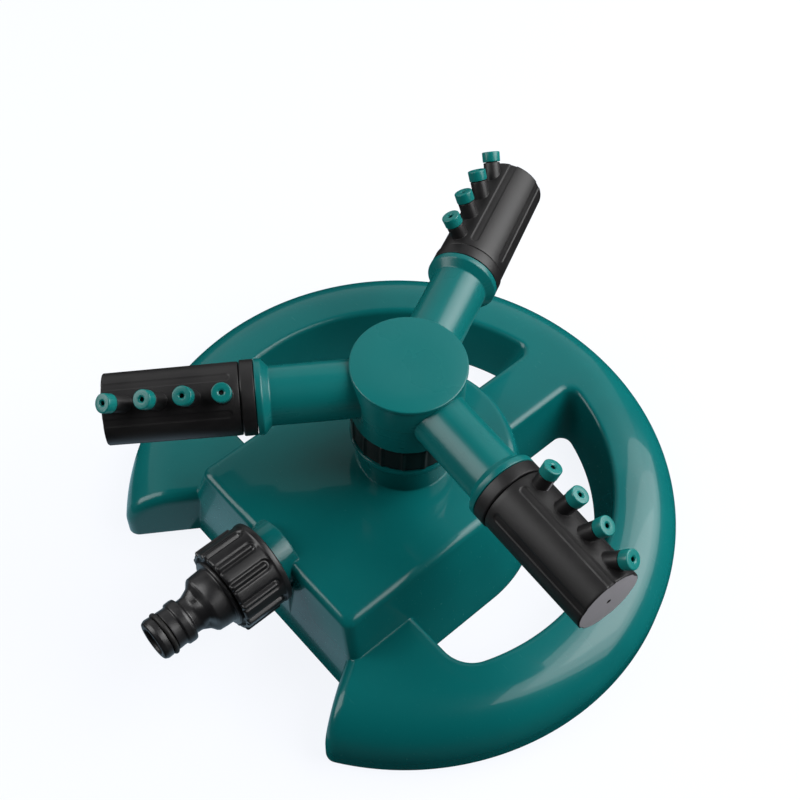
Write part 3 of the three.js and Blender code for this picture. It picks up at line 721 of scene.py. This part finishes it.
def makeRotorHub():
    look = rotorHub
    seam, radius = look["seam"], look["radius"]
    drum = workObject(spin(rounded([
        (0, look["bottom"]), (radius - 0.1, look["bottom"], 0.5), (radius, seam - 0.12),
        (radius - look["seamDepth"], seam), (radius, seam + 0.12), (radius, look["top"], 0.3),
        (0, look["top"])]), 192))
    arms = []
    for number in range(1, armCount + 1):
        tube = spin(rounded([
            (0, 2), (look["tubeRadius"], 2), (look["tubeRadius"], look["coneStart"], 0.8),
            (look["collarRadius"], look["collarStart"], 0.8),
            (look["collarRadius"], look["collarEnd"], 0.25),
            (look["spigotRadius"], look["collarEnd"]), (look["spigotRadius"], look["grooveStart"]),
            (look["grooveRadius"], look["grooveStart"]), (look["grooveRadius"], look["grooveEnd"]),
            (look["spigotRadius"], look["grooveEnd"]), (look["spigotRadius"], look["spigotEnd"], 0.5),
            (0, look["spigotEnd"])]), 128)
        bmesh.ops.transform(tube, verts=tube.verts, matrix=groundFrame.inverted() @ armFrame(number))
        arms.append(workObject(tube))
    combine(drum, arms, "UNION")
    return pieceFrom(drum, "rotorHub", groundFrame, "rotor", "teal_rotor", ["rotor_hub"], 28)


rotorCap = {"radius": 21, "bottom": 95.9, "top": 97.3, "edge": 0.45, "dish": 0.16, "dishRadius": 8}


def makeRotorCap():
    look = rotorCap
    top = look["top"]
    shape = spin(rounded([
        (0, look["bottom"]), (look["radius"], look["bottom"], 0.15), (look["radius"], top, look["edge"]),
        *((look["dishRadius"] * (1.5 - 0.125 * step), top - look["dish"] * bumpAt(1.5 - 0.125 * step, 1.5))
          for step in range(13))]), 192)
    return pieceFrom(workObject(shape), "rotorCap", groundFrame, "rotor", "teal_rotor", ["rotor_cap"], 40)


makeBearingNut()
makeRotorHub()
makeRotorCap()
print("rotor made")


armBand = {"radius": 13.45, "bore": 9.9, "start": 54.1, "end": 58.9}
barrel = {
    "start": 59.2, "end": 106, "rootRadius": 13.05, "tipRadius": 12.6, "endWall": 2.2, "edge": 0.5,
    "bore": 9.7, "chamberRadius": 10.2, "chamberStart": 70, "twist": (25, 30, 29),
    "fluteCount": 6, "fluteStart": 61.9, "fluteHalf": 1.65, "fluteWall": 0.45, "fluteDepth": 0.32,
}
nozzle = {
    "count": 4, "first": 63.8, "pitch": 8.45, "firstTilt": 3, "tiltStep": 12, "reachStep": 1,
    "postRadius": 3.2, "stubRadius": 2.2, "shoulder": 17.6, "stubEnd": 20.6, "bore": 1.1,
    "capRadius": 3.45, "capEnd": 21.75, "capHole": 0.85, "capRoof": 20.9,
}


def makeArmBand(number):
    look = armBand
    profile = rounded([
        (look["bore"], look["start"]), (look["radius"], look["start"], 0.15),
        (look["radius"], look["end"] - 0.35, 0.3), (look["radius"] - 0.35, look["end"], 0.1),
        (look["bore"], look["end"])])
    shape = spin(profile, 144, closed=True)
    name, node = f"armBand{number}", f"arm_band_{number}"
    return pieceFrom(workObject(shape), name, armFrame(number), "rotor", "black_barrel", [node])


def nozzlePlace(place):
    # Local Z along the nozzle, from the barrel's own frame.
    tilt = math.radians(nozzle["firstTilt"] + place * nozzle["tiltStep"])
    along = nozzle["first"] + place * nozzle["pitch"]
    return Matrix.Translation((0, 0, along)) @ Matrix.Rotation(math.radians(90) - tilt, 4, "Y")


def makeBarrel(number):
    look = barrel
    span = look["end"] - look["start"]
    rows = [look["fluteStart"] - 0.2 + 0.2 * step for step in range(12)]
    rows += [66, 70, 76, 82, 88, 94, 100, 104]

    def skin(height):
        return lerp(look["rootRadius"], look["tipRadius"], (height - look["start"]) / span)

    outer = rounded([(0, look["start"]), (look["rootRadius"] - 0.1, look["start"], 0.35), (skin(61), 61)])
    outer += [Vector((skin(height), height)) for height in rows]
    outer += rounded([
        (skin(105), 105), (look["tipRadius"], look["end"], look["edge"]), (1.0, look["end"]),
        (0.9, look["end"] - 0.5), (0, look["end"] - 0.6)])
    shape = spin(outer, look["fluteCount"] * 48)

    def flutes(angle, height, radius):
        # Wide flat grooves with a round start, between the rows, running out at the barrel's end.
        turned = angle + math.pi / look["fluteCount"]
        across = nearestCopy(turned, look["fluteCount"], look["rootRadius"])
        distance = math.hypot(across, max(0, look["fluteStart"] + look["fluteHalf"] - height))
        inside = min(1, max(0, (look["fluteHalf"] - distance) / look["fluteWall"]))
        return -look["fluteDepth"] * inside

    onSurface(shape, flutes, look["tipRadius"] - 0.6)
    body = workObject(shape)
    posts = []
    for place in range(nozzle["count"]):
        shoulder = nozzle["shoulder"] + place * nozzle["reachStep"]
        end = nozzle["stubEnd"] + place * nozzle["reachStep"]
        post = spin(rounded([
            (0, 4), (nozzle["postRadius"], 4), (nozzle["postRadius"], shoulder, 0.2),
            (nozzle["stubRadius"], shoulder), (nozzle["stubRadius"], end), (0, end)]), 48)
        bmesh.ops.transform(post, verts=post.verts, matrix=nozzlePlace(place))
        posts.append(workObject(post))
    combine(body, posts, "UNION")
    wallStart = look["end"] - look["endWall"]
    inside = spin([
        (0, look["start"] - 1), (look["bore"], look["start"] - 1), (look["bore"], look["chamberStart"]),
        (look["chamberRadius"], look["chamberStart"]), (look["chamberRadius"], wallStart),
        (0, wallStart)], 64)
    tools = [workObject(inside)]
    for place in range(1, nozzle["count"]):
        end = nozzle["capEnd"] + place * nozzle["reachStep"]
        bore = spin([(0, 5), (nozzle["bore"], 5), (nozzle["bore"], end), (0, end)], 24)
        bmesh.ops.transform(bore, verts=bore.verts, matrix=nozzlePlace(place))
        tools.append(workObject(bore))
    combine(body, tools, "DIFFERENCE")
    place = armFrame(number, look["twist"][number - 1])
    name, node, rider = f"barrel{number}", f"barrel_{number}", f"spray_barrel_{number}"
    made = pieceFrom(body, name, place, rider, "black_barrel", [node])
    outwards = tuple(joints[f"barrel_{number}_twist"]["axis"])
    made.data.materials[0] = makeBlack(f"blackBarrel{number}", blackBarrel, outwards)
    return made


def makeNozzleCap(number, place):
    look = nozzle
    pocket = look["stubRadius"] + 0.3
    profile = rounded([
        (pocket, look["shoulder"] + 0.3), (look["capRadius"] - 0.05, look["shoulder"] + 0.3, 0.2),
        (look["capRadius"], look["capEnd"], 0.45), (look["capHole"] + 0.55, look["capEnd"], 0.1),
        (look["capHole"], look["capEnd"] - 0.35, 0.1), (look["capHole"], look["capRoof"]),
        (pocket, look["capRoof"])], 5)
    shape = spin(profile, 72, closed=True)
    bmesh.ops.translate(shape, verts=shape.verts, vec=(0, 0, place * look["reachStep"]))
    where = armFrame(number, barrel["twist"][number - 1]) @ nozzlePlace(place)
    name, node = f"nozzleCap{number}x{place + 1}", f"nozzle_cap_{number}_{place + 1}"
    return pieceFrom(workObject(shape), name, where, f"spray_barrel_{number}", "teal_tip", [node], 40)


for number in range(1, armCount + 1):
    makeArmBand(number)
    makeBarrel(number)
    for place in range(nozzle["count"]):
        makeNozzleCap(number, place)
print("spray barrels made")


# the inner pieces keep their CAD shape and get the same finishes
slots = {entry["node"]: entry["material_slot"] for entry in frame["record"]["subparts"]}
for node, item in frame["nodes"].items():
    item.data.materials.clear()
    item.data.materials.append(finishes[slots[node]])
print("inner pieces finished")


studio = {
    "floor": (0.05, 0.05, 0.05), "floorGlow": (0.87, 0.89, 0.93), "floorWidth": 6000,
    "card": {"width": 150, "depth": 56, "middle": (-26, -100, -0.5), "glow": (0.45, 0.62, 0.75)},
    # each light has its width, height, brightness, angle, rise above the ground and distance
    "lights": {
        # three panels, one before the other, so that their mirror image fades out at its rim
        "keyPanel": (1060, 940, 5.4, 146, 44, 900),
        "keyMiddle": (820, 700, 3.4, 146, 44, 895),
        "keyCentre": (520, 440, 4.2, 146, 44, 890),
        "sidePanel": (480, 840, 7.6, -42, 36, 900),
        "backPanel": (2400, 1300, 0.85, -122, 32, 1200),
    },
}


def makeLight(name, width, height, brightness, angle, rise, distance):
    back = direction(math.radians(angle), math.radians(rise))
    data = bpy.data.lights.new(name, "AREA")
    data.shape = "RECTANGLE"
    data.size, data.size_y = width * mm, height * mm
    data.energy = brightness * math.pi * data.size * data.size_y
    light = bpy.data.objects.new(name, data)
    light.rotation_euler = back.to_track_quat("Z", "Y").to_euler()
    light.location = (groundFrame @ (back * distance)) * mm
    bpy.context.scene.collection.objects.link(light)


def makeSheet(name, width, depth, middle):
    shape = bmesh.new()
    bmesh.ops.create_grid(shape, x_segments=2, y_segments=2, size=0.5)
    flat = Matrix.Translation(middle) @ Matrix.Diagonal((width, depth, 1, 1))
    bmesh.ops.transform(shape, verts=shape.verts, matrix=groundFrame @ flat)
    made = workObject(shape, name)
    made.data.transform(Matrix.Scale(mm, 4))
    return made


def makeFloor():
    floor = makeSheet("floor", studio["floorWidth"], studio["floorWidth"], (0, 0, 0))
    sheet = Sheet("paleFloor")
    sheet.finish(Base_Color=colour(*studio["floor"]), Roughness=1.0, Specular_IOR_Level=0.0,
                 Emission_Color=colour(*studio["floorGlow"]), Emission_Strength=1.0)
    floor.data.materials.append(sheet.material)
    floor.visible_glossy = False  # the object mirrors the dark studio and not the floor


def makeCard():
    # A pale card before the hose side, which only shows as a soft mirror image in the front faces.
    look = studio["card"]
    card = makeSheet("bounceCard", look["width"], look["depth"], look["middle"])
    sheet = Sheet("paleCard")
    sheet.finish(Base_Color=colour(0, 0, 0), Roughness=1.0, Specular_IOR_Level=0.0,
                 Emission_Color=colour(*look["glow"]), Emission_Strength=1.0)
    card.data.materials.append(sheet.material)
    card.visible_camera = False
    card.visible_diffuse = False
    card.visible_shadow = False


makeCard()
makeFloor()
world = bpy.data.worlds.new("studio")
bpy.context.scene.world = world
world.use_nodes = True
world.node_tree.nodes["Background"].inputs["Color"].default_value = colour(*studio["floorGlow"])
world.cycles_visibility.diffuse = False  # a pale background that lights nothing
world.cycles_visibility.glossy = False
bpy.context.scene.view_settings.view_transform = "Standard"
for name, settings in studio["lights"].items():
    makeLight(name, *settings)
print("stage made")
